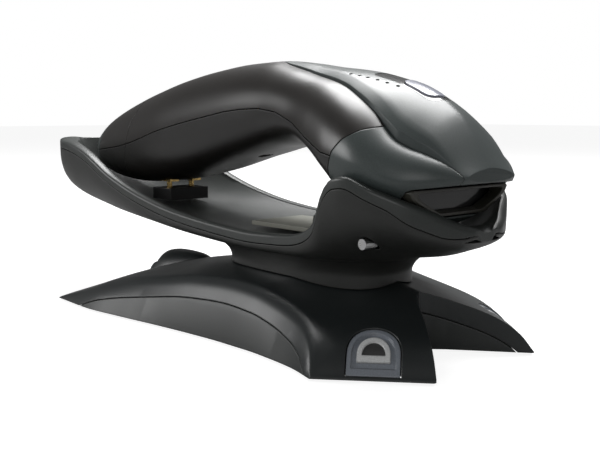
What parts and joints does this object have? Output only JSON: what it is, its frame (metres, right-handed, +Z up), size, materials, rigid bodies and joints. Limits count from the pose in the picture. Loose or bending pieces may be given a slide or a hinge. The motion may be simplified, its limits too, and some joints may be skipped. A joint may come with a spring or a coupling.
{
  "type": "handheld barcode scanner",
  "caption": "Cordless handheld barcode scanner with a curved grip and angled scan window, resting in its charging cradle.",
  "frame": {"origin": "on the ground under the middle of the bounding box", "axes": "+X from the tail to the nose of the scanner, +Y across to its left, +Z up"},
  "size_m": [0.2028, 0.088, 0.0856],
  "materials": {
    "satin_grey": "satin, fine texture",
    "handle_charcoal": "satin",
    "underside_charcoal": "satin",
    "cradle_grey": "satin",
    "cradle_dark": "fine matt texture",
    "base_blue_grey": "satin",
    "bezel_olive": "satin",
    "window_black": "polished",
    "button_lavender": "satin gloss",
    "clear_insert": "clear",
    "rubber_black": "matt",
    "board_green": "solder mask",
    "steel": "plain",
    "gold": "plated",
    "cell_wrap": "heat-shrink film",
    "mirror": "polished",
    "pale_plate": "matt",
    "socket_black": "matt"
  },
  "bodies": {
    "cradle": {"ballast_plate": "steel", "base_bottom_housing": "cradle_dark", "base_screw_1": "steel", "base_screw_2": "steel", "base_screw_3": "steel", "base_screw_4": "steel", "base_top_shell": "base_blue_grey", "bumper_post_left": "rubber_black", "bumper_post_right": "rubber_black", "cable_socket": "socket_black", "contact_block": "socket_black", "cradle_circuit_board": "board_green", "neck_screw_front": "steel", "neck_screw_rear": "steel", "rubber_foot_1": "rubber_black", "rubber_foot_2": "rubber_black", "rubber_foot_3": "rubber_black", "rubber_foot_4": "rubber_black", "scoop_insert_left": "clear_insert", "scoop_insert_right": "clear_insert", "status_light": "steel", "tray_floor_plate": "pale_plate", "tray_liner": "cradle_grey", "tray_lower_shell": "cradle_dark"},
    "scanner": {"battery_cell": "cell_wrap", "battery_contact": "gold", "battery_holder": "socket_black", "battery_spring": "steel", "beeper": "socket_black", "button_surround": "window_black", "casing_screw_handle": "steel", "casing_screw_head": "steel", "casing_screw_tail": "steel", "charge_pad_left": "gold", "charge_pad_right": "gold", "handle_lower_shell": "underside_charcoal", "handle_upper_shell": "handle_charcoal", "head_housing": "satin_grey", "laser_module": "gold", "main_circuit_board": "board_green", "mirror_drive_coil": "gold", "photodiode_board": "board_green", "radio_module": "steel", "scan_engine_frame": "steel", "scan_window": "window_black", "tail_end_cap": "satin_grey", "tail_lower_cover": "underside_charcoal", "tail_upper_cover": "handle_charcoal", "top_cover": "satin_grey", "trigger_switch": "socket_black", "window_bezel": "bezel_olive"},
    "trigger": {"trigger_button": "button_lavender"},
    "mirror": {"mirror_magnet": "steel", "oscillating_mirror": "mirror"},
    "pin_right": {"charge_pin_right": "gold"},
    "pin_left": {"charge_pin_left": "gold"}
  },
  "joints": [
    {"name": "scanner_lift", "type": "slide", "parent": "cradle", "child": "scanner", "axis": [0, 0, 1], "range_m": [0, 0.12]},
    {"name": "trigger_press", "type": "slide", "parent": "scanner", "child": "trigger", "axis": [0, 0, -1], "range_m": [0, 0.001], "stiffness_N_per_m": 900, "springref_m": -0.0005},
    {"name": "mirror_swing", "type": "hinge", "parent": "scanner", "child": "mirror", "pos_m": [0.07175, 0, 0.0536], "axis": [0, 0, 1], "range_deg": [-10, 10], "stiffness_Nm_per_rad": 0.002},
    {"name": "pin_right_press", "type": "slide", "parent": "cradle", "child": "pin_right", "axis": [0, 0, -1], "range_m": [0, 0.0015], "stiffness_N_per_m": 150, "springref_m": -0.0005},
    {"name": "pin_left_press", "type": "slide", "parent": "cradle", "child": "pin_left", "axis": [0, 0, -1], "range_m": [0, 0.0015], "stiffness_N_per_m": 150, "springref_m": -0.0005}
  ]
}
